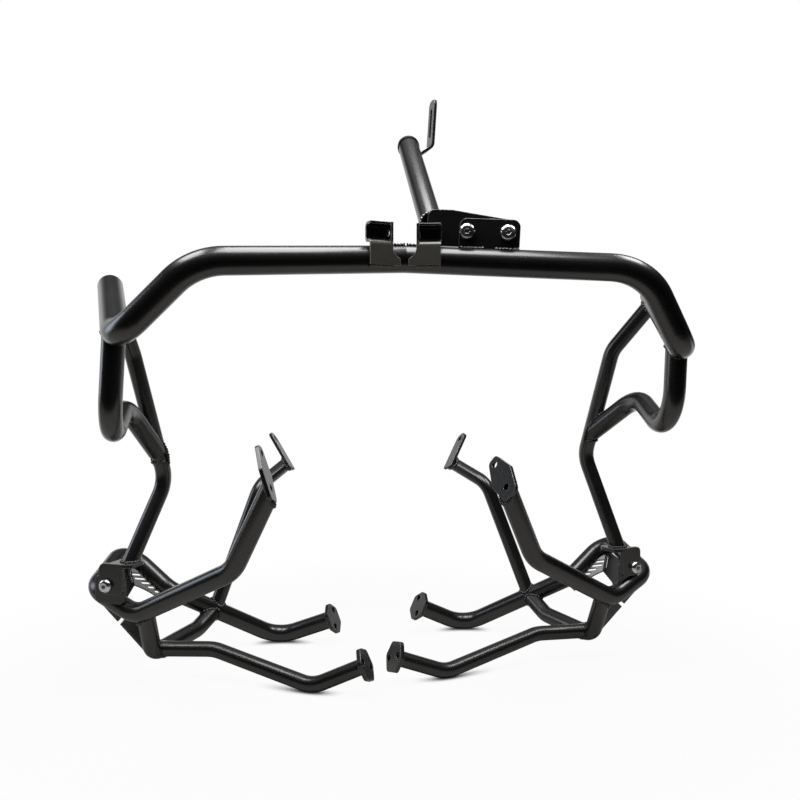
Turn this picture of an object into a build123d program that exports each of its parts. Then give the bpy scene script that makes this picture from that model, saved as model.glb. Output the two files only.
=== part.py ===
import os
from math import cos, radians, sin

from build123d import *

os.makedirs("parts", exist_ok=True)

# Crash bars for a motorcycle with a flat twin engine: an upper bar in two halves and two lower loops.
# Driving dimensions in millimetres. X runs across the motorcycle, Y from front to back, Z up.
# Points are bend corners of tube centrelines on the right-hand side, given as (across, back, up).

# Tube sections
bar_od = 32.0
loop_od = 27.0
cross_od = 25.0
thin_od = 22.0
stay_od = 28.0
upper_wall = 1.5
lower_wall = 3.0

# Sheet and plate thicknesses
guard_sheet = 3.0
bracket_plate = 5.0
tab_plate = 5.0
flange_plate = 6.0
saddle_sheet = 3.0

# Edge length of the blocks that trim tube ends
cut_size = 90.0

# Bend radii of the tube centrelines
wide_bend = 68.0
tight_bend = 40.0
easy_bend = 48.0
hairpin_bend = 30.0
post_bend = 30.0

# Upper bar: joint in the middle, bend, front corner and rear end
bar_joint = (0.0, -217.7, 574.0)
bar_bend = {"left": (235.0, -281.7, 559.0), "right": (268.0, -281.7, 560.5)}
bar_corner = {"left": (323.0, -244.7, 477.0), "right": (336.0, -244.7, 463.0)}
bar_rear = {"left": (366.0, -56.7, 551.0), "right": (375.0, -56.7, 551.0)}
bar_cap_length = 9.0
bar_cap_round = 7.0

# Side loop under the front corner, and the down tube behind it
loop_weld = 0.24
nose = {"left": (342.0, -194.7, 353.0), "right": (343.5, -194.7, 357.0)}
heel = {"left": (349.0, -56.7, 397.0), "right": (356.0, -56.7, 409.0)}
heel_weld = 0.78
heel_gap = 0.06
down_overrun = 1.3
down_top_setback = 18.0
down_kink = {"left": (343.0, -28.7, 464.0), "right": (328.0, -28.7, 474.0)}
down_elbow = {"left": (309.0, 28.3, 287.0), "right": (309.0, 28.3, 317.0)}
down_foot = {"left": (352.0, -8.7, 178.5), "right": (354.0, 7.3, 182.0)}

# Clamp between the down tube and the lower loop
clamp_centre = {"left": (379.0, -16.7, 150.5), "right": (375.0, 1.3, 152.0)}
clamp_turn = 25.0
clamp_inner = 25.0
clamp_outer = 12.0
clamp_corner = 13.0
clamp_low = 12.0
shelf_inner = 38.0
shelf_depth = 34.0
shelf_height = 30.0
clamp_round = 8.0
shelf_taper = 0.7
clamp_clearance = 1.0
weld_tab_inner = 24.0
weld_tab_outer = 22.0
weld_tab_low = 26.0
weld_tab_high = 12.0

# Lower sets: each is turned a little about its clamp and shifted, as the slack in the clamp allows
set_turn = {"left": 1.0, "right": -3.4}
set_shift = {"left": (2.5, -2.5, 0.0), "right": (-1.0, 4.0, 0.0)}

# Lower loop: tab end, front leg, outer end, rear leg, floor bend and flange
leg_top = {"left": (152.5, -128.7, 296.0), "right": (159.5, -128.7, 290.0)}
leg_bend = {"left": (203.5, -94.7, 184.0), "right": (206.0, -94.7, 187.0)}
outer_front = (340.0, -17.7, 109.0)
outer_tip = (402.0, 15.3, 139.0)
outer_rear = (387.0, 143.3, 168.0)
rear_bend = (316.0, 118.3, 108.0)
rear_floor = {"left": (154.0, 198.3, 6.0), "right": (154.0, 210.3, 4.5)}
rear_flange = {"left": (63.0, 162.3, 44.5), "right": (70.0, 177.3, 48.0)}

# Post with cross tube, front leg to the floor, and thin rear tube
post_top = (327.0, -23.7, 116.0)
post_foot = (326.0, 32.3, 38.5)
cross_kink = (274.0, 112.3, 48.5)
front_overrun = 1.1
junction_share = {"left": 0.4, "right": 0.375}
front_leg_start = (320.0, 38.3, 43.5)
front_leg_bend = (240.0, 31.3, 42.5)
front_floor = {"left": (100.0, -37.7, 8.6), "right": (92.0, -32.7, 9.1)}
front_flange = {"left": (26.0, -56.7, 43.0), "right": (15.0, -51.7, 39.0)}
rear_tube_bend = {"left": (183.0, 184.3, 258.0), "right": (187.0, 184.3, 254.0)}
rear_tube_top = {"left": (137.0, 239.3, 290.5), "right": (131.0, 239.3, 286.0)}

# Flanges with two bolt holes
flange_height = 52.0
flange_width = 40.0
flange_shoulder = 24.0
flange_round = 8.0
flange_pitch = 27.0
front_flange_lean = 45.0
front_flange_nod = {"left": 10.0, "right": 20.0}
rear_flange_lean = -60.0

# Tabs at the upper tube ends
bolt_hole = 10.5
front_tab_up = {"left": (0.25, 0.40, 0.88), "right": (0.05, 0.88, 0.46)}
front_tab_face = {"left": (-0.95, -0.15, 0.34), "right": (-0.87, -0.36, 0.33)}
front_tab_foot = 17.0
front_tab_rise = 58.0
front_tab_width = 42.0
front_tab_round = 7.0
tab_waist = 0.6
tab_shoulder = 0.36
tab_tip = 0.4
rear_tab_up = (32.0, 32.0, 53.0)
rear_tab_face = (-0.78, -0.12, 0.543)
rear_tab_foot = 12.0
rear_tab_rise = 62.0
rear_tab_width = 25.0

# Guard sheet below the outer end of the lower loop, with a window between its two faces
guard_foot = (332.0, 43.3, 37.0)
guard_drop = 6.0
guard_overrun = 8.0
guard_foot_width = 11.0
guard_edge_top = 15.0
window_from = 41.0
window_reach = 72.0
window_depth = 31.0
window_round = 12.0
band_waist = 20.5
band_waist_share = 0.3
band_end = 18.5
band_slots = 5
band_slot_first = 13.0
band_slot_pitch = 12.0
band_slot_top = 5.0
band_slot_long = 20.0
band_slot_short = 13.0
guard_slot_width = 4.2
fold_slot_start = 14.0
fold_slot_side = 6.0
fold_slot_long = 24.0
side_slot_margin = 7.0
side_slot_share = 0.42
side_slot_width = 5.5
side_slot_long = 28.0

# Saddles beside the joint
saddle_place = {"left": 36.0, "right": 29.0}
saddle_width = 28.0
flap_drop = 8.0
ear_reach = 9.0
ear_rise = 16.0
ear_hollow = 0.3
lip_rise = {"left": 20.0, "right": 19.0}
channel_height = 20.0
channel_depth = 14.5
saddle_hole = 9.0
flap_bite = 1.0
fold_radius = 5.0

# Plates and stay on the right half
plate_from = 62.0
plate_to = 132.0
plate_rise = 49.5
plate_round = 9.0
stay_plate_from = 24.0
stay_plate_low = 17.0
stay_plate_high = 59.5
stay_plate_end = 48.5
bolt_rise = 34.0
bolt_inset = 9.0
bolt_pitch = 47.0
stay_foot = (32.0, -214.7, 615.0)
stay_top = (27.0, -50.7, 748.0)
stay_cap_od = 30.0
stay_cap_length = 12.0
stay_cap_round = 9.0
strap_width = 24.0
strap_thickness = 4.0
strap_turn = 8.0
strap_weld = (7.0, -15.0)
strap_corner = (31.0, 2.0)
strap_lean = 4.0
strap_rise = 64.0
strap_slot_length = 42.0
strap_slot_width = 9.0
strap_bend = 8.0
strap_round = 8.0

# Dome head bolts and their nuts
shank_d = 10.0
head_d = 19.0
head_height = 7.0
head_rim = 1.5
head_flat = 8.0
dome_shoulder = 0.8
socket_size = 6.0
socket_depth = 4.0
nut_size = 16.0
nut_height = 8.0
bolt_end = 3.0

sides = ("left", "right")


def between(start, end, share):
    """The point at a share of the way from one point to another."""
    return Vector(start) + (Vector(end) - Vector(start)) * share


def arc_middle(before, corner, after, radius):
    """The middle of the bend that rounds a corner of a centreline."""
    back = (Vector(before) - Vector(corner)).normalized()
    ahead = (Vector(after) - Vector(corner)).normalized()
    half_angle = radians(back.get_angle(ahead) / 2)
    return Vector(corner) + (back + ahead).normalized() * radius * (1 / sin(half_angle) - 1)


def rod(points, bends, diameter, bore=0.0):
    """A round bar along straight runs and bends, hollow where a bore is given."""
    with BuildPart() as bar:
        with BuildLine() as run:
            if bends:
                FilletPolyline(*points, radius=bends)
            else:
                Line(*points)
        with BuildSketch(Plane(origin=run.line @ 0, z_dir=run.line % 0)):
            Circle(diameter / 2)
            if bore:
                Circle(bore / 2, mode=Mode.SUBTRACT)
        sweep(path=run.line)
    return bar.part


def tube(points, bends, diameter, wall, cutters):
    """A bent tube whose ends are coped to the pieces that they meet."""
    whole = rod(points, bends, diameter, diameter - 2 * wall)
    with BuildPart() as piece:
        add(whole)
        for cutter in cutters:
            add(cutter, mode=Mode.SUBTRACT)
    return piece.part


def block(plane, size):
    """A cutting block that stands on a plane."""
    with BuildPart() as cutter:
        with BuildSketch(plane):
            Rectangle(size, size)
        extrude(amount=size)
    return cutter.part


def turned(point, side):
    """A point of a lower set, turned about its clamp and shifted with the set."""
    pivot = Vector(clamp_centre[side])
    return pivot + (Vector(point) - pivot).rotate(Axis.Z, set_turn[side]) + Vector(set_shift[side])


def keep(piece, name, side="right"):
    """Label and write a piece, mirrored where it belongs on the left."""
    with BuildPart() as finished:
        if side == "left":
            mirror(piece, about=Plane.YZ)
        else:
            add(piece)
    finished.part.label = name
    export_step(finished.part, f"parts/{name}.step")


def tab_plane(foot, up, face):
    """The outer face of a tab: its Y runs up the tab, its Z points away from the tube."""
    normal = Vector(face).normalized()
    return Plane(origin=foot, x_dir=Vector(up).cross(normal), z_dir=normal)


def flange_plane(centre, inner_corner, nod=0.0):
    """The outer face of a flange on a tube end, nodded down from square by an angle."""
    outward = (Vector(centre) - Vector(inner_corner)).normalized()
    square = Plane(origin=centre, x_dir=Vector(0, 0, 1).cross(outward), z_dir=outward)
    return square.rotated((nod, 0, 0))


def flange(face, lean):
    """A rounded six-sided flange with two bolt holes on a leaning line."""
    half_width = flange_width / 2
    half_height = flange_height / 2
    shoulder = flange_shoulder / 2
    with BuildPart() as piece:
        with BuildSketch(face):
            with BuildLine():
                Polyline(
                    (0, half_height),
                    (half_width, shoulder),
                    (half_width, -shoulder),
                    (0, -half_height),
                    (-half_width, -shoulder),
                    (-half_width, shoulder),
                    close=True,
                )
            make_face()
            fillet(vertices(), flange_round)
            with PolarLocations(flange_pitch / 2, 2, start_angle=lean):
                Circle(bolt_hole / 2, mode=Mode.SUBTRACT)
        extrude(amount=-flange_plate)
    return piece.part


def bolt(seat, grip):
    """A dome head bolt with a hexagon socket, its head on a seat plane."""
    length = grip + nut_height + bolt_end
    profile = Plane(origin=seat.origin, x_dir=seat.x_dir, z_dir=-seat.y_dir)
    head_r = head_d / 2
    with BuildPart() as piece:
        with BuildSketch(profile):
            with BuildLine():
                dome = ThreePointArc(
                    (head_r, head_rim),
                    (head_r * dome_shoulder, head_rim + (head_height - head_rim) * dome_shoulder),
                    (head_flat / 2, head_height),
                )
                Polyline(
                    dome @ 1,
                    (0, head_height),
                    (0, -length),
                    (shank_d / 2, -length),
                    (shank_d / 2, 0),
                    (head_r, 0),
                    dome @ 0,
                )
            make_face()
        revolve(axis=Axis(seat.origin, seat.z_dir))
        with BuildSketch(seat.offset(head_height)):
            RegularPolygon(socket_size / 2, 6, major_radius=False)
        extrude(amount=-socket_depth, mode=Mode.SUBTRACT)
    return piece.part


def nut(seat):
    """A hexagon nut under a seat plane."""
    with BuildPart() as piece:
        with BuildSketch(seat):
            RegularPolygon(nut_size / 2, 6, major_radius=False)
            Circle(shank_d / 2, mode=Mode.SUBTRACT)
        extrude(amount=-nut_height)
    return piece.part


def end_cap(plane, diameter, length, rounding):
    """A rounded cap that closes a tube end."""
    with BuildPart() as piece:
        with BuildSketch(plane):
            Circle(diameter / 2)
        extrude(amount=length)
        far_rim = piece.edges().sort_by(Axis(plane.origin, plane.z_dir))[-1]
        fillet(far_rim, rounding)
    return piece.part


# Outer faces of the tabs and flanges, and the plane of each clamp: X outward, Y up, Z to the front
clamp_face = Vector(sin(radians(clamp_turn)), -cos(radians(clamp_turn)), 0)
clamp_along = Vector(cos(radians(clamp_turn)), sin(radians(clamp_turn)), 0)
front_tab_plane = {}
rear_tab_plane = {}
front_flange_plane = {}
rear_flange_plane = {}
clamp_plane = {}
for side in sides:
    front_tab_plane[side] = tab_plane(turned(leg_top[side], side), front_tab_up[side], front_tab_face[side])
    rear_tab_plane[side] = tab_plane(turned(rear_tube_top[side], side), rear_tab_up, rear_tab_face)
    front_end = turned(front_flange[side], side)
    front_corner = turned(front_floor[side], side)
    front_flange_plane[side] = flange_plane(front_end, front_corner, front_flange_nod[side])
    rear_flange_plane[side] = flange_plane(turned(rear_flange[side], side), turned(rear_floor[side], side))
    clamp_plane[side] = Plane(origin=clamp_centre[side], x_dir=clamp_along, z_dir=clamp_face)

# Lower sets
for side in sides:
    # Lower loop, and the rod that the pieces around it are coped to
    loop_corners = [leg_top[side], leg_bend[side], outer_front, outer_tip, outer_rear, rear_bend]
    loop_corners += [rear_floor[side], rear_flange[side]]
    loop_points = [turned(corner, side) for corner in loop_corners]
    loop_bends = [easy_bend, tight_bend, hairpin_bend, hairpin_bend, tight_bend, easy_bend]
    loop_rod = rod(loop_points, loop_bends, loop_od)
    front_tab_cut = block(front_tab_plane[side].offset(-tab_plate), cut_size)
    rear_leg_end = block(rear_flange_plane[side].offset(-flange_plate), cut_size)
    overshoot = (loop_points[0] - loop_points[1]).normalized() * loop_od
    long_loop = [loop_points[0] + overshoot] + loop_points[1:]
    lower_loop = tube(long_loop, loop_bends, loop_od, lower_wall, [front_tab_cut, rear_leg_end])
    keep(lower_loop, f"lower_loop_{side}", side)

    # Post that turns into the cross tube
    junction = turned(between(rear_bend, rear_floor[side], junction_share[side]), side)
    post_points = [turned(post_top, side), turned(post_foot, side), turned(cross_kink, side), junction]
    post_bends = [post_bend, tight_bend]
    post_rod = rod(post_points, post_bends, cross_od)
    tube_bend = turned(rear_tube_bend[side], side)
    rear_tube_rod = rod([junction, tube_bend], [], thin_od)
    lower_post = tube(post_points, post_bends, cross_od, lower_wall, [loop_rod, rear_tube_rod])
    keep(lower_post, f"lower_post_{side}", side)

    # Front leg, from the foot of the post down to the floor and in to its flange
    floor_corner = turned(front_floor[side], side)
    beyond_flange = between(floor_corner, turned(front_flange[side], side), front_overrun)
    front_leg_points = [turned(front_leg_start, side), turned(front_leg_bend, side)]
    front_leg_points += [floor_corner, beyond_flange]
    front_leg_bends = [easy_bend, easy_bend]
    front_leg_rod = rod(front_leg_points, front_leg_bends, thin_od)
    front_leg_end = block(front_flange_plane[side].offset(-flange_plate), cut_size)
    front_leg = tube(front_leg_points, front_leg_bends, thin_od, lower_wall, [post_rod, front_leg_end])
    keep(front_leg, f"front_leg_{side}", side)

    # Thin rear tube, up to its tab
    tube_top = turned(rear_tube_top[side], side)
    overshoot = (tube_top - tube_bend).normalized() * thin_od
    rear_tab_cut = block(rear_tab_plane[side].offset(-tab_plate), cut_size)
    rear_tube_points = [junction, tube_bend, tube_top + overshoot]
    rear_tube = tube(rear_tube_points, [tight_bend], thin_od, lower_wall, [loop_rod, rear_tab_cut])
    keep(rear_tube, f"rear_tube_{side}", side)

    keep(flange(front_flange_plane[side], front_flange_lean), f"front_flange_{side}", side)
    keep(flange(rear_flange_plane[side], rear_flange_lean), f"rear_flange_{side}", side)

    # Tab on the front leg of the loop: waisted foot, pointed top, one hole above and one over the tube
    half_tab = front_tab_width / 2
    with BuildPart() as front_tab:
        with BuildSketch(front_tab_plane[side]):
            with BuildLine():
                Polyline(
                    (-half_tab * tab_waist, -front_tab_foot),
                    (half_tab * tab_waist, -front_tab_foot),
                    (half_tab, front_tab_rise * tab_shoulder),
                    (half_tab * tab_tip, front_tab_rise),
                    (-half_tab * tab_tip, front_tab_rise),
                    (-half_tab, front_tab_rise * tab_shoulder),
                    close=True,
                )
            make_face()
            fillet(vertices(), front_tab_round)
            with Locations((0, 0), (0, front_tab_rise - bolt_hole)):
                Circle(bolt_hole / 2, mode=Mode.SUBTRACT)
        extrude(amount=-tab_plate)
    keep(front_tab.part, f"front_tab_{side}", side)

    # Tab on the rear tube: a strip with a round end
    with BuildPart() as rear_tab:
        with BuildSketch(rear_tab_plane[side]):
            with BuildLine():
                side_run = Polyline(
                    (-rear_tab_width / 2, rear_tab_rise - rear_tab_width / 2),
                    (-rear_tab_width / 2, -rear_tab_foot),
                    (rear_tab_width / 2, -rear_tab_foot),
                    (rear_tab_width / 2, rear_tab_rise - rear_tab_width / 2),
                )
                ThreePointArc(side_run @ 1, (0, rear_tab_rise), side_run @ 0)
            make_face()
            with Locations((0, rear_tab_rise - rear_tab_width / 2)):
                Circle(bolt_hole / 2, mode=Mode.SUBTRACT)
        extrude(amount=-tab_plate)
    keep(rear_tab.part, f"rear_tab_{side}", side)

    # Tab welded inside the loop's corner, and the folded clamp in front of it
    clear_rod = rod(loop_points, loop_bends, loop_od + 2 * clamp_clearance)
    with BuildPart() as weld_tab:
        with BuildSketch(clamp_plane[side]):
            with BuildLine():
                Polyline(
                    (-weld_tab_inner, -weld_tab_low),
                    (weld_tab_outer, -weld_tab_low),
                    (weld_tab_outer, weld_tab_high),
                    (-weld_tab_inner, weld_tab_high),
                    close=True,
                )
            make_face()
            fillet(vertices(), clamp_round)
            Circle(bolt_hole / 2, mode=Mode.SUBTRACT)
        extrude(amount=-bracket_plate)
        add(loop_rod, mode=Mode.SUBTRACT)
    keep(weld_tab.part, f"weld_tab_{side}", side)

    clamp_top = clamp_plane[side].from_local_coords((0, shelf_height, 0))
    shelf_outer = clamp_outer - clamp_corner
    with BuildPart() as clamp:
        with BuildSketch(clamp_plane[side]):
            with BuildLine():
                Polyline(
                    (-clamp_inner, -clamp_low),
                    (clamp_outer, -clamp_low),
                    (clamp_outer, shelf_height),
                    (-clamp_inner, shelf_height),
                    close=True,
                )
            make_face()
            fillet(vertices().group_by(Axis.Z)[0], clamp_round)
            fillet(vertices().group_by(Axis.Z)[-1].sort_by(Axis.X)[-1], clamp_corner)
            Circle(bolt_hole / 2, mode=Mode.SUBTRACT)
        extrude(amount=bracket_plate)
        with BuildSketch(Plane(origin=clamp_top, x_dir=clamp_along)):
            with BuildLine():
                Polyline(
                    (-shelf_inner, 0),
                    (-clamp_inner, -bracket_plate),
                    (shelf_outer, -bracket_plate),
                    (shelf_outer, shelf_depth * shelf_taper),
                    (-shelf_inner, shelf_depth),
                    close=True,
                )
            make_face()
            fillet(vertices().group_by(Axis.Y)[-1], clamp_round)
        extrude(amount=-bracket_plate)
        add(clear_rod, mode=Mode.SUBTRACT)
    keep(clamp.part, f"clamp_{side}", side)

    clamp_seat = clamp_plane[side].offset(bracket_plate)
    keep(bolt(clamp_seat, 2 * bracket_plate), f"clamp_bolt_{side}", side)
    keep(nut(clamp_plane[side].offset(-bracket_plate)), f"clamp_nut_{side}", side)

    # Guard: a slotted band below the rear leg and a side panel, folded from one sheet round a window
    drop = Vector(0, 0, -guard_drop)
    fold_top = arc_middle(*loop_points[3:6], hairpin_bend) + drop
    side_top = arc_middle(*loop_points[2:5], hairpin_bend) + drop
    fold = turned(guard_foot, side) - fold_top
    band_run = loop_points[5] + drop - fold_top
    band_plane = Plane(origin=fold_top, x_dir=band_run, z_dir=band_run.cross(fold))
    side_plane = Plane(origin=fold_top, x_dir=fold, z_dir=fold.cross(side_top - fold_top))
    band_length = band_run.length + guard_overrun
    window_top = band_plane.to_local_coords(fold_top + fold.normalized() * window_from)
    side_corner = side_plane.to_local_coords(side_top)
    slot_run = Vector(window_top.X, window_top.Y).normalized()
    slot_turn = Vector(1, 0).get_signed_angle(slot_run)
    waist_place = window_top.X + (band_length - window_top.X) * band_waist_share
    with BuildPart() as guard:
        with BuildSketch(band_plane):
            with BuildLine():
                lower_edge = ThreePointArc(
                    (window_top.X, window_top.Y),
                    (waist_place, band_waist),
                    (band_length, band_end),
                )
                Polyline(lower_edge @ 1, (band_length, 0), (0, 0), lower_edge @ 0)
            make_face()
            for number in range(band_slots):
                share = number / (band_slots - 1)
                slot_length = band_slot_long + (band_slot_short - band_slot_long) * share
                slot_start = Vector(band_slot_first + band_slot_pitch * number, band_slot_top)
                middle = slot_start + slot_run * slot_length / 2
                with Locations(Location((middle.X, middle.Y, 0), slot_turn)):
                    SlotOverall(slot_length, guard_slot_width, mode=Mode.SUBTRACT)
        extrude(amount=guard_sheet / 2, both=True)
        with BuildSketch(side_plane):
            with BuildLine():
                foot_end = Vector(fold.length, 0)
                foot_corner = Vector(fold.length, guard_foot_width)
                edge_top = Vector(side_corner.X + guard_edge_top, side_corner.Y)
                window_edge = FilletPolyline(
                    foot_end, (window_reach, window_depth), (window_from, 0), radius=window_round
                )
                Polyline(
                    window_edge @ 1,
                    (0, 0),
                    (side_corner.X, side_corner.Y),
                    edge_top,
                    foot_corner,
                    foot_end,
                )
            make_face()
            edge_run = (foot_corner - edge_top).normalized()
            inward = edge_run.rotate(Axis.Z, -90)
            middle = between(edge_top, foot_corner, side_slot_share) + inward * side_slot_margin
            with Locations(Location((middle.X, middle.Y, 0), Vector(1, 0).get_signed_angle(edge_run))):
                SlotOverall(side_slot_long, side_slot_width, mode=Mode.SUBTRACT)
            with Locations((fold_slot_start + fold_slot_long / 2, fold_slot_side)):
                SlotOverall(fold_slot_long, guard_slot_width, mode=Mode.SUBTRACT)
        extrude(amount=guard_sheet / 2, both=True)
        for cutter in (loop_rod, post_rod, front_leg_rod):
            add(cutter, mode=Mode.SUBTRACT)
    keep(guard.part, f"guard_{side}", side)

# Upper bars, each with its cap, down tube, side loop and saddle
for side in sides:
    corner = Vector(bar_corner[side])
    rear_end = Vector(bar_rear[side])
    bar_run = (Vector(bar_bend[side]) - Vector(bar_joint)).normalized()
    bar_points = [Vector(bar_joint) - bar_run * bar_od, bar_bend[side], corner, rear_end]
    bar_bends = [wide_bend, tight_bend]
    bar_rod = rod(bar_points, bar_bends, bar_od)
    whole_bar = rod(bar_points, bar_bends, bar_od, bar_od - 2 * upper_wall)
    with BuildPart() as upper_bar:
        add(whole_bar)
        split(bisect_by=Plane.YZ, keep=Keep.TOP)
    keep(upper_bar.part, f"upper_bar_{side}", side)

    rear_run = (rear_end - corner).normalized()
    cap = end_cap(Plane(origin=rear_end, z_dir=rear_run), bar_od, bar_cap_length, bar_cap_round)
    keep(cap, f"bar_cap_{side}", side)

    shelf_top = Plane(
        origin=clamp_plane[side].from_local_coords((0, shelf_height, 0)),
        x_dir=clamp_along,
        z_dir=(0, 0, -1),
    )
    below_foot = between(down_elbow[side], down_foot[side], down_overrun)
    down_points = [rear_end - rear_run * down_top_setback, down_kink[side], down_elbow[side], below_foot]
    down_bends = [easy_bend, easy_bend]
    down_rod = rod(down_points, down_bends, thin_od)
    down_tube = tube(down_points, down_bends, thin_od, upper_wall, [bar_rod, block(shelf_top, cut_size)])
    keep(down_tube, f"down_tube_{side}", side)

    weld_start = between(corner, rear_end, loop_weld)
    weld_end = between(down_kink[side], down_elbow[side], heel_weld)
    weld_end = between(heel[side], weld_end, 1 - heel_gap)
    side_points = [weld_start, nose[side], heel[side], weld_end]
    side_loop = tube(side_points, [easy_bend, easy_bend], loop_od, upper_wall, [bar_rod, down_rod])
    keep(side_loop, f"side_loop_{side}", side)

    # Saddle: a folded tray on a flap that is welded to the front of the bar, with an ear towards the joint
    saddle_centre = Vector(bar_joint) + bar_run * saddle_place[side]
    level_run = Vector(bar_run.X, bar_run.Y, 0).normalized()
    saddle_end = Plane(
        origin=saddle_centre - level_run * saddle_width / 2,
        x_dir=Vector(0, 0, 1).cross(level_run),
        z_dir=level_run,
    )
    flap_front = -(bar_od + saddle_sheet) / 2 + flap_bite
    flap_back = Plane(
        origin=saddle_end.from_local_coords((flap_front + saddle_sheet / 2, 0, 0)),
        x_dir=level_run,
        z_dir=level_run.cross(Vector(0, 0, 1)),
    )
    tray_floor = lip_rise[side]
    tray_top = tray_floor + channel_height
    with BuildPart() as saddle:
        with BuildSketch(saddle_end):
            with BuildLine():
                FilletPolyline(
                    (flap_front, -flap_drop),
                    (flap_front, tray_floor),
                    (flap_front + channel_depth, tray_floor),
                    (flap_front + channel_depth, tray_top),
                    (flap_front, tray_top),
                    radius=fold_radius,
                )
            trace(line_width=saddle_sheet)
        extrude(amount=saddle_width)
        with BuildSketch(saddle_end):
            with Locations((flap_front + channel_depth / 2, (tray_floor + tray_top) / 2)):
                Rectangle(channel_depth + saddle_sheet, channel_height + saddle_sheet)
                Circle(saddle_hole / 2, mode=Mode.SUBTRACT)
        extrude(amount=saddle_sheet)
        with BuildSketch(flap_back):
            with BuildLine():
                ear_middle = (-ear_reach * ear_hollow, ear_rise * ear_hollow)
                ThreePointArc((-ear_reach, 0), ear_middle, (0, ear_rise))
                Polyline((0, ear_rise), (0, -flap_drop), (-ear_reach, -flap_drop), (-ear_reach, 0))
            make_face()
        extrude(amount=saddle_sheet)
        add(bar_rod, mode=Mode.SUBTRACT)
    keep(saddle.part, f"saddle_{side}", side)

# Plates on the right half: X along the bar, Y up, Z towards the front
right_run = (Vector(bar_bend["right"]) - Vector(bar_joint)).normalized()
plate_plane = Plane(origin=bar_joint, x_dir=right_run, z_dir=right_run.cross(Vector(0, 0, 1)))
bolt_places = [(plate_from + bolt_inset, bolt_rise), (plate_from + bolt_inset + bolt_pitch, bolt_rise)]
right_bar_points = [bar_joint, bar_bend["right"], bar_corner["right"]]
right_bar_rod = rod(right_bar_points, [wide_bend], bar_od)

with BuildPart() as bar_plate:
    with BuildSketch(plate_plane):
        with BuildLine():
            Polyline(
                (plate_from, 0),
                (plate_to, 0),
                (plate_to, plate_rise),
                (plate_from, plate_rise),
                close=True,
            )
        make_face()
        fillet(vertices().group_by(Axis.Z)[-1], plate_round)
        with Locations(*bolt_places):
            Circle(bolt_hole / 2, mode=Mode.SUBTRACT)
    extrude(amount=bracket_plate)
    add(right_bar_rod, mode=Mode.SUBTRACT)
keep(bar_plate.part, "bar_plate")

with BuildPart() as stay_plate:
    with BuildSketch(plate_plane):
        with BuildLine():
            Polyline(
                (stay_plate_from, stay_plate_low),
                (plate_to, stay_plate_low),
                (plate_to, stay_plate_end),
                (stay_plate_from + stay_od, stay_plate_high),
                (stay_plate_from, stay_plate_high),
                close=True,
            )
        make_face()
        fillet(vertices(), plate_round)
        with Locations(*bolt_places):
            Circle(bolt_hole / 2, mode=Mode.SUBTRACT)
    extrude(amount=-bracket_plate)
keep(stay_plate.part, "stay_plate")

for number, spot in enumerate(bolt_places, start=1):
    seat = Plane(
        origin=plate_plane.from_local_coords((spot[0], spot[1], bracket_plate)),
        x_dir=plate_plane.x_dir,
        z_dir=plate_plane.z_dir,
    )
    keep(bolt(seat, 2 * bracket_plate), f"stay_bolt_{number}")
    keep(nut(seat.offset(-2 * bracket_plate)), f"stay_nut_{number}")

# Stay tube with its cap, and the slotted strap beside its upper end
stay_run = (Vector(stay_top) - Vector(stay_foot)).normalized()
stay_points = [Vector(stay_foot) - stay_run * stay_od, Vector(stay_top)]
plate_back = Plane(
    origin=plate_plane.from_local_coords((stay_plate_from, bolt_rise, -bracket_plate)),
    x_dir=plate_plane.x_dir,
    z_dir=plate_plane.z_dir,
)
keep(tube(stay_points, [], stay_od, upper_wall, [block(plate_back, cut_size)]), "stay_tube")
stay_rod = rod(stay_points, [], stay_od)

stay_end = Plane(origin=stay_top, z_dir=stay_run)
stay_cap = end_cap(stay_end, stay_cap_od, stay_cap_length, stay_cap_round)
keep(stay_cap, "stay_cap")

# The strap's plane stands on the stay's end: X away from the tube, Y up, Z to the front
strap_face = Vector(sin(radians(strap_turn)), -cos(radians(strap_turn)), 0)
strap_out = Vector(cos(radians(strap_turn)), sin(radians(strap_turn)), 0)
strap_back = Vector(stay_top) - strap_face * strap_width / 2
strap_plane = Plane(origin=strap_back, x_dir=strap_out, z_dir=strap_face)
strap_end = (strap_corner[0] + strap_lean, strap_corner[1] + strap_rise)
slot_spot = (Vector(strap_corner) + Vector(strap_end)) / 2
strap_slot_middle = Vector(stay_top) + strap_out * slot_spot.X + Vector(0, 0, slot_spot.Y)
with BuildPart() as strap:
    with BuildSketch(strap_plane):
        with BuildLine():
            FilletPolyline(strap_weld, strap_corner, strap_end, radius=strap_bend)
        trace(line_width=strap_thickness)
    extrude(amount=strap_width)
    end_edges = strap.faces().sort_by(Axis.Z)[-1].edges().sort_by(SortBy.LENGTH)
    fillet(end_edges[:2], strap_round)
    for cutter in (stay_rod, stay_cap):
        add(cutter, mode=Mode.SUBTRACT)
    slot_start = strap_slot_middle - strap_out * strap_width
    with BuildSketch(Plane(origin=slot_start, x_dir=strap_face, z_dir=strap_out)):
        SlotOverall(strap_slot_length, strap_slot_width, rotation=90)
    extrude(amount=2 * strap_width, mode=Mode.SUBTRACT)
keep(strap.part, "stay_strap")
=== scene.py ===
from math import cos, pi, radians, sin, sqrt

import bpy
from mathutils import Matrix, Vector


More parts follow.
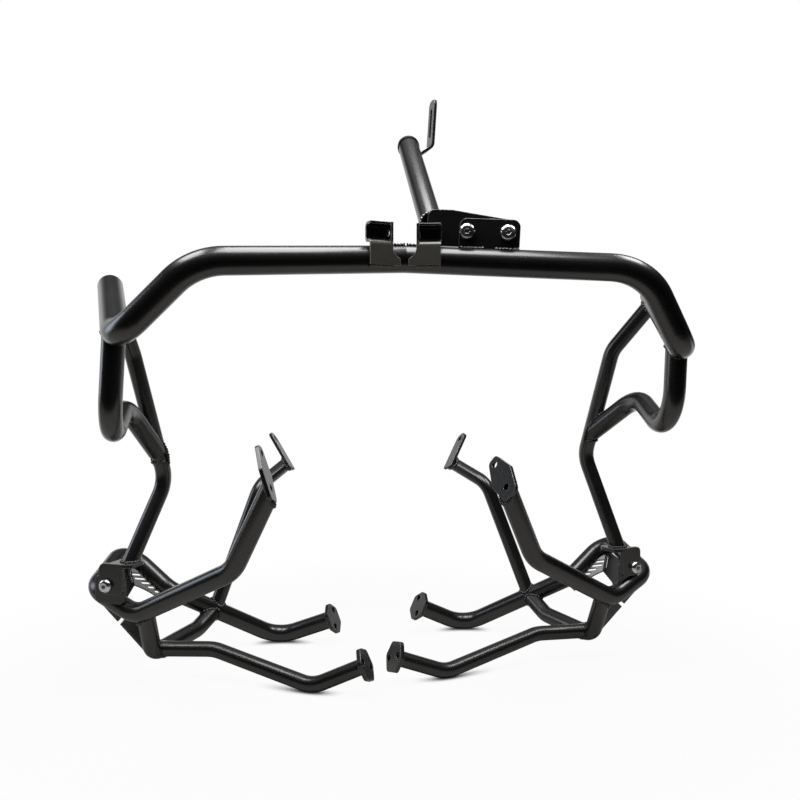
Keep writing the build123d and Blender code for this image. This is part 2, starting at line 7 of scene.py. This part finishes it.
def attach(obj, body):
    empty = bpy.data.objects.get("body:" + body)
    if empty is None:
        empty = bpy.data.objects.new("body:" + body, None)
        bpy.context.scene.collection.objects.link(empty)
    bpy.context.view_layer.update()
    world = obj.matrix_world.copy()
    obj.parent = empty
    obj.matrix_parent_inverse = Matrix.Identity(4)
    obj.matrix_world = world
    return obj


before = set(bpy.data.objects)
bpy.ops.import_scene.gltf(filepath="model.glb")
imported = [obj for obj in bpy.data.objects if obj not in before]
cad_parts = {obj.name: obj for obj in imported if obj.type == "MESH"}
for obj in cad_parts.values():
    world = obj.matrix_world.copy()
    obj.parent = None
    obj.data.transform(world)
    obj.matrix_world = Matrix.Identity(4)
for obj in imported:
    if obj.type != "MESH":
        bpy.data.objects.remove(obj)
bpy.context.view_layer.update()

MM = 0.001
steep = 0.9
scene = bpy.context.scene
sides = ("left", "right")

# Camera: place in millimetres and turns in radians, for a square picture
camera_place = (-133.6, -1209.3, 441.5)
camera_yaw = 0.12875
camera_pitch = -0.03239
camera_roll = 0.0038
sensor_width = 36.0
lens_length = 38.25

# Colours of the coat, its painted highlights along sheet edges and painted sheen on the saddle's lower
# flap, the zinc, the floor and the lamps
coat_dark = (0.0050, 0.0050, 0.0054, 1.0)
coat_light = (0.0100, 0.0097, 0.0094, 1.0)
# Painted sheen: the saddle's lower flap is made lighter than the black coat, standing in for the light its
# face catches
flap_painted_sheen = (0.078, 0.074, 0.063, 1.0)
# Painted highlights: lighter colours along the edges of the sheet parts and the saddle
sheet_edge_highlight = (0.23, 0.224, 0.214, 1.0)
tray_edge_highlight = (0.60, 0.593, 0.571, 1.0)
zinc_dark = (0.50, 0.52, 0.55, 1.0)
zinc_light = (0.78, 0.79, 0.80, 1.0)
floor_colour = (0.50, 0.485, 0.45, 1.0)
front_colour = (0.03, 0.03, 0.03, 1.0)
lamp_plain = (1.0, 1.0, 1.0)
lamp_cool = (0.80, 0.88, 1.0)
white = (1.0, 1.0, 1.0, 1.0)

# Materials: roughness from and to, noise scales, and depths and radii in metres
coat_ior = 1.62
plain_gloss = 0.5
full_gloss = 1.0
tube_roughness = (0.245, 0.265)
sheet_roughness = (0.24, 0.27)
weld_roughness = (0.24, 0.30)
bright_weld_roughness = (0.12, 0.20)
zinc_roughness = (0.16, 0.28)
coat_texture = {"patch_scale": 9.0, "grain_scale": 650.0, "grain_depth": 0.000002}
weld_texture = {"patch_scale": 40.0, "grain_scale": 500.0, "grain_depth": 0.00002}
bright_weld_texture = {"patch_scale": 40.0, "grain_scale": 400.0, "grain_depth": 0.0004}
zinc_texture = {"patch_scale": 60.0, "grain_scale": 900.0, "grain_depth": 0.00006}
patch_detail = 1.5
patch_ramp = (0.35, 0.65)
roughness_patch_ratio = 1.7
grain_detail = 2.0
grain_strength = 0.3
edge_samples = 6
sheet_edge_radius = 0.0014
zinc_edge_radius = 0.0006
# Widths of the painted edge highlights on the sheet parts and the saddle
sheet_rim = 0.0010
tray_rim = 0.0011
rim_likeness = (0.85, 0.985)

# Studio: places along an axis in metres, directions of the world from -1 to 1, and brightness from and to
floor_size = 12.0
dark_to_pale = (-0.66, -0.48)
far_floor = (0.35, 0.7)
shadow_reach = 0.022
shadow_samples = 16
shadow_openness = (0.1, 0.7)
shadow_tone = (0.03, 1.0)
glow_radius = (0.4, 0.9)
glow_share = (0.95, 1.0)
ceiling_height = (0.5, 0.8)
ceiling_tone = (0.014, 0.35)
backdrop_depth = (0.5, 0.75)
backdrop_height = (0.25, 0.5)
backdrop_width = (0.0, 0.8)
backdrop_right_share = 0.35

# Softboxes: place, point that it looks at, width and height in metres, power in watts, colour
softboxes = {
    "overhead": ((0.0, -0.28, 1.25), (0.0, -0.279, 0.0), 0.4, 0.65, 8.0, lamp_plain),
    "left_top": ((-0.6, -0.3, 1.25), (-0.6, -0.299, 0.0), 0.4, 0.6, 7.35, lamp_plain),
    "right_top": ((0.68, -0.2, 1.25), (0.68, -0.199, 0.0), 0.36, 0.5, 6.3, lamp_plain),
    "left_back": ((-1.7, 0.3, 0.8), (0.0, -0.1, 0.4), 0.6, 0.9, 6.0, lamp_cool),
}

# Tube radii and plate thicknesses in millimetres, as in the solids
bar_r = 16.0
loop_r = 13.5
cross_r = 12.5
thin_r = 11.0
stay_r = 14.0
tab_plate = 5.0
flange_plate = 6.0
bracket_plate = 5.0

# Weld beads: lengths in millimetres, and shares of a radius, a pitch or a line
bead_r = 2.0
bead_pitch = 4.0
bead_step = 0.7
bead_swell = 0.3
slow_swell = 0.4
slow_pitch_ratio = 3.7
bead_rounding = 2
flap_bead_sink = 1.0
joint_bead_ahead = 4.0
joint_bead_gap = 2.5
plate_bead_ends = (0.42, 0.58)

# Bend corners of the centrelines and places of the welds, in millimetres, degrees and shares of a run,
# in right-hand coordinates
bar_joint = Vector((0.0, -217.7, 574.0))
bar_bend = {"left": Vector((235.0, -281.7, 559.0)), "right": Vector((268.0, -281.7, 560.5))}
bar_corner = {"left": Vector((323.0, -244.7, 477.0)), "right": Vector((336.0, -244.7, 463.0))}
bar_rear = {"left": Vector((366.0, -56.7, 551.0)), "right": Vector((375.0, -56.7, 551.0))}
loop_weld = 0.24
nose = {"left": Vector((342.0, -194.7, 353.0)), "right": Vector((343.5, -194.7, 357.0))}
down_kink = {"left": Vector((343.0, -28.7, 464.0)), "right": Vector((328.0, -28.7, 474.0))}
down_elbow = {"left": Vector((309.0, 28.3, 287.0)), "right": Vector((309.0, 28.3, 317.0))}
down_foot = {"left": Vector((352.0, -8.7, 178.5)), "right": Vector((354.0, 7.3, 182.0))}
down_top_setback = 18.0
heel = {"left": Vector((349.0, -56.7, 397.0)), "right": Vector((356.0, -56.7, 409.0))}
heel_weld = 0.78
clamp_centre = {"left": Vector((379.0, -16.7, 150.5)), "right": Vector((375.0, 1.3, 152.0))}
shelf_height = 30.0
set_turn = {"left": 1.0, "right": -3.4}
set_shift = {"left": Vector((2.5, -2.5, 0.0)), "right": Vector((-1.0, 4.0, 0.0))}
leg_top = {"left": (152.5, -128.7, 296.0), "right": (159.5, -128.7, 290.0)}
leg_bend = {"left": (203.5, -94.7, 184.0), "right": (206.0, -94.7, 187.0)}
outer_front = (340.0, -17.7, 109.0)
rear_bend = (316.0, 118.3, 108.0)
rear_floor = {"left": (154.0, 198.3, 6.0), "right": (154.0, 210.3, 4.5)}
rear_flange = {"left": (63.0, 162.3, 44.5), "right": (70.0, 177.3, 48.0)}
post_top = (327.0, -23.7, 116.0)
post_foot = (326.0, 32.3, 38.5)
cross_kink = (274.0, 112.3, 48.5)
junction_share = {"left": 0.4, "right": 0.375}
front_leg_start = (320.0, 38.3, 43.5)
front_leg_bend = (240.0, 31.3, 42.5)
front_floor = {"left": (100.0, -37.7, 8.6), "right": (92.0, -32.7, 9.1)}
front_flange = {"left": (26.0, -56.7, 43.0), "right": (15.0, -51.7, 39.0)}
front_flange_nod = {"left": 10.0, "right": 20.0}
rear_tube_bend = {"left": (183.0, 184.3, 258.0), "right": (187.0, 184.3, 254.0)}
rear_tube_top = {"left": (137.0, 239.3, 290.5), "right": (131.0, 239.3, 286.0)}
front_tab_face = {"left": Vector((-0.95, -0.15, 0.34)), "right": Vector((-0.87, -0.36, 0.33))}
rear_tab_face = Vector((-0.78, -0.12, 0.543))
saddle_place = {"left": 36.0, "right": 29.0}
saddle_width = 28.0
flap_drop = 8.0
flap_top = 592.0
flap_blend = 1.5
stay_foot = Vector((32.0, -214.7, 615.0))
stay_top = Vector((27.0, -50.7, 748.0))
plate_from = 62.0
plate_to = 132.0


def node_input(node, name, value):
    """Set one named socket of a node."""
    node.inputs[name].default_value = value


def noise_mix(nodes, links, coords, scale, low, high):
    """A colour that wanders between two values with a noise of the given scale."""
    noise = nodes.new("ShaderNodeTexNoise")
    node_input(noise, "Scale", scale)
    node_input(noise, "Detail", patch_detail)
    links.new(coords, noise.inputs["Vector"])
    ramp = nodes.new("ShaderNodeValToRGB")
    for element, position, colour in zip(ramp.color_ramp.elements, patch_ramp, (low, high)):
        element.position = position
        element.color = colour
    links.new(noise.outputs["Fac"], ramp.inputs["Fac"])
    return ramp.outputs["Color"]


def map_range(nodes, links, source, from_min, from_max, to_min, to_max):
    """A smooth change from one range to another, clamped at its ends."""
    node = nodes.new("ShaderNodeMapRange")
    node.interpolation_type = "SMOOTHSTEP"
    node_input(node, "From Min", from_min)
    node_input(node, "From Max", from_max)
    node_input(node, "To Min", to_min)
    node_input(node, "To Max", to_max)
    links.new(source, node.inputs["Value"])
    return node.outputs["Result"]


def surface(name, colours, roughness, gloss, patch_scale, grain_scale, grain_depth, metallic=0.0, edge=0.0):
    """A material with patchy colour and roughness, a fine grain and, with an edge radius, soft edges."""
    material = bpy.data.materials.new(name)
    material.use_nodes = True
    nodes = material.node_tree.nodes
    links = material.node_tree.links
    shader = nodes["Principled BSDF"]
    node_input(shader, "Metallic", metallic)
    node_input(shader, "IOR", coat_ior)
    node_input(shader, "Specular IOR Level", gloss)
    coords = nodes.new("ShaderNodeTexCoord").outputs["Object"]
    links.new(noise_mix(nodes, links, coords, patch_scale, *colours), shader.inputs["Base Color"])
    greys = [(value, value, value, 1.0) for value in roughness]
    rough = noise_mix(nodes, links, coords, patch_scale * roughness_patch_ratio, *greys)
    links.new(rough, shader.inputs["Roughness"])
    grain = nodes.new("ShaderNodeTexNoise")
    node_input(grain, "Scale", grain_scale)
    node_input(grain, "Detail", grain_detail)
    links.new(coords, grain.inputs["Vector"])
    bump = nodes.new("ShaderNodeBump")
    node_input(bump, "Strength", grain_strength)
    node_input(bump, "Distance", grain_depth)
    links.new(grain.outputs["Fac"], bump.inputs["Height"])
    if edge:
        soft_edge = nodes.new("ShaderNodeBevel")
        soft_edge.samples = edge_samples
        node_input(soft_edge, "Radius", edge)
        links.new(soft_edge.outputs["Normal"], bump.inputs["Normal"])
    links.new(bump.outputs["Normal"], shader.inputs["Normal"])
    return material


def blend_colour(nodes, links, factor, colour):
    """Mix a colour into the base colour: all of it where the factor is 0, none where it is 1."""
    base = nodes["Principled BSDF"].inputs["Base Color"]
    mix = nodes.new("ShaderNodeMix")
    mix.data_type = "RGBA"
    mixed_in, kept = (socket for socket in mix.inputs if socket.type == "RGBA")
    mixed_in.default_value = colour
    links.new(factor, mix.inputs["Factor"])
    links.new(base.links[0].from_socket, kept)
    result = next(socket for socket in mix.outputs if socket.type == "RGBA")
    links.new(result, base)


def paint_sheen_below(material, height, colour):
    """Paint another colour into a material below a height in millimetres: a painted sheen where the
    saddle's lower flap catches light.
    """
    nodes = material.node_tree.nodes
    links = material.node_tree.links
    split = nodes.new("ShaderNodeSeparateXYZ")
    links.new(nodes.new("ShaderNodeTexCoord").outputs["Object"], split.inputs["Vector"])
    limits = ((height - flap_blend) * MM, (height + flap_blend) * MM)
    level = map_range(nodes, links, split.outputs["Z"], *limits, 0.0, 1.0)
    blend_colour(nodes, links, level, colour)


def paint_edge_highlights(material, width, colour):
    """Paint a lighter colour along a material's edges: a painted highlight where light catches the coat."""
    nodes = material.node_tree.nodes
    links = material.node_tree.links
    soft = nodes.new("ShaderNodeBevel")
    soft.samples = edge_samples
    node_input(soft, "Radius", width)
    likeness = nodes.new("ShaderNodeVectorMath")
    likeness.operation = "DOT_PRODUCT"
    links.new(soft.outputs["Normal"], likeness.inputs[0])
    links.new(nodes.new("ShaderNodeNewGeometry").outputs["True Normal"], likeness.inputs[1])
    inner = map_range(nodes, links, likeness.outputs["Value"], *rim_likeness, 0.0, 1.0)
    blend_colour(nodes, links, inner, colour)


def dress(piece, material):
    """Give a piece one material."""
    piece.data.materials.clear()
    piece.data.materials.append(material)


def mirrored(point, side):
    """A right-hand point, or its mirror image on the left."""
    return Vector((point.x if side == "right" else -point.x, point.y, point.z))


def turned(point, side):
    """A point of a lower set, turned about its clamp and shifted with the set."""
    pivot = clamp_centre[side]
    spin = Matrix.Rotation(radians(set_turn[side]), 3, "Z")
    return pivot + spin @ (Vector(point) - pivot) + set_shift[side]


def square_axes(direction):
    """Two unit vectors square to a direction and to each other."""
    helper = Vector((0, 0, 1)) if abs(direction.z) < steep else Vector((0, 1, 0))
    first = direction.cross(helper).normalized()
    return first, direction.cross(first).normalized()


def ring_angles(radius):
    """Evenly spaced angles that put the bead's points one step apart."""
    count = int(2 * pi * radius / bead_step)
    return [2 * pi * number / count for number in range(count)]


def saddle_ring(foot, tip, radius, main_from, main_to, main_r):
    """The line where a tube from foot towards tip leaves the surface of a straight main tube."""
    along = (tip - foot).normalized()
    main = (main_to - main_from).normalized()
    first, second = square_axes(along)
    slope = along - main * along.dot(main)
    ring = []
    for angle in ring_angles(radius):
        start = foot + (first * cos(angle) + second * sin(angle)) * radius
        off = start - main_from
        off = off - main * off.dot(main)
        half = off.dot(slope) / slope.length_squared
        rest = half * half - (off.length_squared - main_r * main_r) / slope.length_squared
        ring.append(start + along * (sqrt(max(rest, 0.0)) - half))
    return ring


def flat_ring(foot, tip, radius, spot, normal):
    """The line where a tube from foot towards tip leaves a flat face."""
    along = (tip - foot).normalized()
    first, second = square_axes(along)
    ring = []
    for angle in ring_angles(radius):
        start = foot + (first * cos(angle) + second * sin(angle)) * radius
        ring.append(start + along * ((spot - start).dot(normal) / along.dot(normal)))
    return ring


def bead_line(start, end):
    """Points of a straight bead."""
    count = max(2, int((end - start).length / bead_step))
    return [start.lerp(end, number / count) for number in range(count + 1)]


def add_bead(curve, points, closed):
    """Add one rippled bead to a curve object."""
    spline = curve.splines.new("POLY")
    spline.points.add(len(points) - 1)
    spline.use_cyclic_u = closed
    travelled = 0.0
    for number, point in enumerate(points):
        if number:
            travelled += (point - points[number - 1]).length
        turn = 2 * pi * travelled / bead_pitch
        wave = cos(turn) + slow_swell * cos(turn / slow_pitch_ratio)
        spline.points[number].co = (*(point * MM), 1.0)
        spline.points[number].radius = 1.0 + bead_swell * wave


def bead_piece(name, beads, material):
    """One piece that holds several weld beads."""
    curve = bpy.data.curves.new(name, "CURVE")
    curve.dimensions = "3D"
    curve.bevel_depth = bead_r * MM
    curve.bevel_resolution = bead_rounding
    curve.use_fill_caps = True
    for points, closed in beads:
        add_bead(curve, points, closed)
    piece = bpy.data.objects.new(name, curve)
    scene.collection.objects.link(piece)
    dress(piece, material)
    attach(piece, "root")


def lower_rings(side):
    """Weld rings of one lower set, in right-hand coordinates."""
    top = turned(leg_top[side], side)
    bend = turned(leg_bend[side], side)
    front = turned(outer_front, side)
    start = turned(front_leg_start, side)
    start_bend = turned(front_leg_bend, side)
    back_bend = turned(rear_bend, side)
    back_floor = turned(rear_floor[side], side)
    back_end = turned(rear_flange[side], side)
    junction = back_bend.lerp(back_floor, junction_share[side])
    kink = turned(cross_kink, side)
    foot = turned(post_foot, side)
    thin_bend = turned(rear_tube_bend[side], side)
    thin_top = turned(rear_tube_top[side], side)
    leg_floor = turned(front_floor[side], side)
    leg_end = turned(front_flange[side], side)
    front_face = front_tab_face[side].normalized()
    rear_face = rear_tab_face.normalized()
    back_face = (back_end - back_floor).normalized()
    leg_run = (leg_end - leg_floor).normalized()
    across = Vector((0, 0, 1)).cross(leg_run).normalized()
    leg_face = Matrix.Rotation(radians(front_flange_nod[side]), 3, across) @ leg_run
    return [
        flat_ring(top, bend, loop_r, top - front_face * tab_plate, front_face),
        flat_ring(thin_top, thin_bend, thin_r, thin_top - rear_face * tab_plate, rear_face),
        flat_ring(leg_end, leg_floor, thin_r, leg_end - leg_face * flange_plate, leg_face),
        flat_ring(back_end, back_floor, loop_r, back_end - back_face * flange_plate, back_face),
        saddle_ring(turned(post_top, side), foot, cross_r, bend, front, loop_r),
        saddle_ring(junction, kink, cross_r, back_bend, back_floor, loop_r),
        saddle_ring(junction, thin_bend, thin_r, back_bend, back_floor, loop_r),
        saddle_ring(start, start_bend, thin_r, foot, kink, cross_r),
    ]


def upper_rings(side):
    """Weld rings of one upper half, in right-hand coordinates."""
    corner = bar_corner[side]
    rear = bar_rear[side]
    down_top = rear - (rear - corner).normalized() * down_top_setback
    weld_start = corner.lerp(rear, loop_weld)
    weld_end = down_kink[side].lerp(down_elbow[side], heel_weld)
    shelf = clamp_centre[side] + Vector((0, 0, shelf_height))
    return [
        saddle_ring(weld_start, nose[side], loop_r, corner, rear, bar_r),
        saddle_ring(down_top, down_kink[side], thin_r, corner, rear, bar_r),
        saddle_ring(weld_end, heel[side], loop_r, down_kink[side], down_elbow[side], thin_r),
        flat_ring(down_foot[side], down_elbow[side], thin_r, shelf, Vector((0, 0, 1))),
    ]


def saddle_beads(side):
    """Beads under a saddle's flap and on top of the bar beside the joint, in right-hand coordinates."""
    run = (bar_bend[side] - bar_joint).normalized()
    level = Vector((run.x, run.y, 0)).normalized()
    ahead = level.cross(Vector((0, 0, 1)))
    centre = bar_joint + run * saddle_place[side]
    foot = centre + ahead * (bar_r - flap_bead_sink) - Vector((0, 0, flap_drop))
    top = bar_joint + Vector((0, 0, bar_r)) + ahead * joint_bead_ahead
    half = level * saddle_width / 2
    return [
        bead_line(foot - half, foot + half),
        bead_line(top + run * joint_bead_gap, top + run * (saddle_place[side] - saddle_width / 2)),
    ]


def combine(nodes, links, operation, first, second):
    """The result of one operation on two values."""
    node = nodes.new("ShaderNodeMath")
    node.operation = operation
    links.new(first, node.inputs[0])
    links.new(second, node.inputs[1])
    return node.outputs["Value"]


def backdrop_rays(nodes, links, reach):
    """1 for rays that see the white backdrop: from the camera, through glass, and mirrored within reach."""
    path = nodes.new("ShaderNodeLightPath").outputs
    mirrored_rays = combine(nodes, links, "MULTIPLY", path["Is Glossy Ray"], reach)
    direct_rays = combine(nodes, links, "MAXIMUM", path["Is Camera Ray"], path["Is Transmission Ray"])
    return combine(nodes, links, "MAXIMUM", direct_rays, mirrored_rays)


def floor_material():
    """A pale floor, dark towards the camera, that shows as white apart from the object's shadow: near the
    object a painted contact shadow darkens the floor's glow, and a small share of real shadow shows
    through.
    """
    material = bpy.data.materials.new("pale_floor")
    material.use_nodes = True
    nodes = material.node_tree.nodes
    links = material.node_tree.links
    nodes.clear()
    output = nodes.new("ShaderNodeOutputMaterial")
    coords = nodes.new("ShaderNodeTexCoord").outputs["Object"]
    split = nodes.new("ShaderNodeSeparateXYZ")
    links.new(coords, split.inputs["Vector"])
    sweep = map_range(nodes, links, split.outputs["Y"], *dark_to_pale, 0.0, 1.0)
    dark = nodes.new("ShaderNodeBsdfDiffuse")
    node_input(dark, "Color", front_colour)
    pale = nodes.new("ShaderNodeBsdfDiffuse")
    node_input(pale, "Color", floor_colour)
    ground = nodes.new("ShaderNodeMixShader")
    links.new(sweep, ground.inputs["Fac"])
    links.new(dark.outputs["BSDF"], ground.inputs[1])
    links.new(pale.outputs["BSDF"], ground.inputs[2])
    # Painted contact shadow: the floor's glow is darkened by ambient occlusion near the object
    near = nodes.new("ShaderNodeAmbientOcclusion")
    near.samples = shadow_samples
    node_input(near, "Distance", shadow_reach)
    glow = nodes.new("ShaderNodeEmission")
    tone = map_range(nodes, links, near.outputs["AO"], *shadow_openness, *shadow_tone)
    links.new(tone, glow.inputs["Color"])
    node_input(glow, "Strength", 1.0)
    distance = nodes.new("ShaderNodeVectorMath")
    distance.operation = "LENGTH"
    links.new(coords, distance.inputs[0])
    fade = map_range(nodes, links, distance.outputs["Value"], *glow_radius, *glow_share)
    far = map_range(nodes, links, split.outputs["Y"], *far_floor, 0.0, 1.0)
    seen = combine(nodes, links, "MULTIPLY", backdrop_rays(nodes, links, far), fade)
    mix = nodes.new("ShaderNodeMixShader")
    links.new(seen, mix.inputs["Fac"])
    links.new(ground.outputs["Shader"], mix.inputs[1])
    links.new(glow.outputs["Emission"], mix.inputs[2])
    links.new(mix.outputs["Shader"], output.inputs["Surface"])
    return material


def add_floor():
    """A large flat floor at the object's lowest level."""
    mesh = bpy.data.meshes.new("floor")
    half = floor_size / 2
    corners = [(-half, -half, 0), (half, -half, 0), (half, half, 0), (-half, half, 0)]
    mesh.from_pydata(corners, [], [(0, 1, 2, 3)])
    floor = bpy.data.objects.new("floor", mesh)
    scene.collection.objects.link(floor)
    dress(floor, floor_material())


def set_world():
    """A white backdrop low behind the object, a grey ceiling and an otherwise dark room."""
    world = bpy.data.worlds.new("studio")
    scene.world = world
    world.use_nodes = True
    nodes = world.node_tree.nodes
    links = world.node_tree.links
    nodes.clear()
    output = nodes.new("ShaderNodeOutputWorld")
    backdrop = nodes.new("ShaderNodeBackground")
    node_input(backdrop, "Color", white)
    node_input(backdrop, "Strength", 1.0)
    room = nodes.new("ShaderNodeBackground")
    node_input(room, "Strength", 1.0)
    split = nodes.new("ShaderNodeSeparateXYZ")
    links.new(nodes.new("ShaderNodeTexCoord").outputs["Generated"], split.inputs["Vector"])
    ceiling = map_range(nodes, links, split.outputs["Z"], *ceiling_height, *ceiling_tone)
    links.new(ceiling, room.inputs["Color"])
    behind = map_range(nodes, links, split.outputs["Y"], *backdrop_depth, 0.0, 1.0)
    low = map_range(nodes, links, split.outputs["Z"], *backdrop_height, 1.0, 0.0)
    left = map_range(nodes, links, split.outputs["X"], *backdrop_width, 1.0, backdrop_right_share)
    reach = combine(nodes, links, "MULTIPLY", combine(nodes, links, "MULTIPLY", behind, low), left)
    mix = nodes.new("ShaderNodeMixShader")
    links.new(backdrop_rays(nodes, links, reach), mix.inputs["Fac"])
    links.new(room.outputs["Background"], mix.inputs[1])
    links.new(backdrop.outputs["Background"], mix.inputs[2])
    links.new(mix.outputs["Shader"], output.inputs["Surface"])


def add_softbox(name, place, aim, width, height, power, colour):
    """A rectangular area lamp that looks at a point."""
    lamp = bpy.data.lights.new(name, "AREA")
    lamp.shape = "RECTANGLE"
    lamp.size = width
    lamp.size_y = height
    lamp.energy = power
    lamp.color = colour
    holder = bpy.data.objects.new(name, lamp)
    holder.location = place
    holder.rotation_euler = (Vector(aim) - Vector(place)).to_track_quat("-Z", "Y").to_euler()
    holder.visible_camera = False
    scene.collection.objects.link(holder)


def add_camera():
    """A camera at the picture's place and angle."""
    data = bpy.data.cameras.new("camera")
    data.sensor_width = sensor_width
    data.lens = lens_length
    camera = bpy.data.objects.new("camera", data)
    level = Vector((sin(camera_yaw), cos(camera_yaw), 0))
    forward = level * cos(camera_pitch) + Vector((0, 0, sin(camera_pitch)))
    right = Vector((cos(camera_yaw), -sin(camera_yaw), 0))
    up = right.cross(forward)
    rolled_right = right * cos(camera_roll) + up * sin(camera_roll)
    rolled_up = up * cos(camera_roll) - right * sin(camera_roll)
    turn = Matrix((rolled_right, rolled_up, -forward)).transposed().to_4x4()
    camera.matrix_world = Matrix.Translation(Vector(camera_place) * MM) @ turn
    scene.collection.objects.link(camera)
    scene.camera = camera


coat_colours = (coat_dark, coat_light)
coat = surface("satin_black_tube", coat_colours, tube_roughness, plain_gloss, **coat_texture)
sheet, tray = (
    surface(name, coat_colours, sheet_roughness, plain_gloss, edge=sheet_edge_radius, **coat_texture)
    for name in ("satin_black_sheet", "satin_grey_flap")
)
# Painted highlights along the edges of the sheet parts and the saddle
paint_edge_highlights(sheet, sheet_rim, sheet_edge_highlight)
# Painted sheen on the saddle's lower flap, below flap_top
paint_sheen_below(tray, flap_top, flap_painted_sheen)
paint_edge_highlights(tray, tray_rim, tray_edge_highlight)
weld = surface("coated_weld", coat_colours, weld_roughness, plain_gloss, **weld_texture)
bright_weld = surface(
    "bright_weld", coat_colours, bright_weld_roughness, full_gloss, **bright_weld_texture
)
zinc = surface(
    "bright_zinc", (zinc_dark, zinc_light), zinc_roughness, plain_gloss,
    metallic=1.0, edge=zinc_edge_radius, **zinc_texture,
)

sheet_words = ("plate", "tab", "flange", "guard", "clamp", "strap")
for name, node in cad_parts.items():
    if "bolt" in name or "nut" in name:
        dress(node, zinc)
    elif "saddle" in name:
        dress(node, tray)
    else:
        dress(node, sheet if any(word in name for word in sheet_words) else coat)

for side in sides:
    rings = lower_rings(side) + upper_rings(side)
    beads = [([mirrored(point, side) for point in ring], True) for ring in rings]
    beads += [([mirrored(point, side) for point in line], False) for line in saddle_beads(side)]
    bead_piece(f"weld_beads_{side}", beads, weld)

# Beads along the foot of the bar plate and round the foot of the stay
bar_run = (bar_bend["right"] - bar_joint).normalized()
plate_front = bar_run.cross(Vector((0, 0, 1))).normalized()
plate_up = plate_front.cross(bar_run)
foot_rise = sqrt(bar_r ** 2 - bracket_plate ** 2)
foot_start = bar_joint + bar_run * plate_from + plate_front * bracket_plate + plate_up * foot_rise
foot_end = foot_start + bar_run * (plate_to - plate_from)
stay_spot = bar_joint - plate_front * bracket_plate
first_end, second_start = (foot_start.lerp(foot_end, share) for share in plate_bead_ends)
centre_beads = [
    (bead_line(foot_start, first_end), False),
    (bead_line(second_start, foot_end), False),
    (flat_ring(stay_foot, stay_top, stay_r, stay_spot, plate_front), True),
]
bead_piece("weld_beads_centre", centre_beads, bright_weld)

add_floor()
set_world()
for name, values in softboxes.items():
    add_softbox(name, *values)
add_camera()
scene.view_settings.view_transform = "Standard"
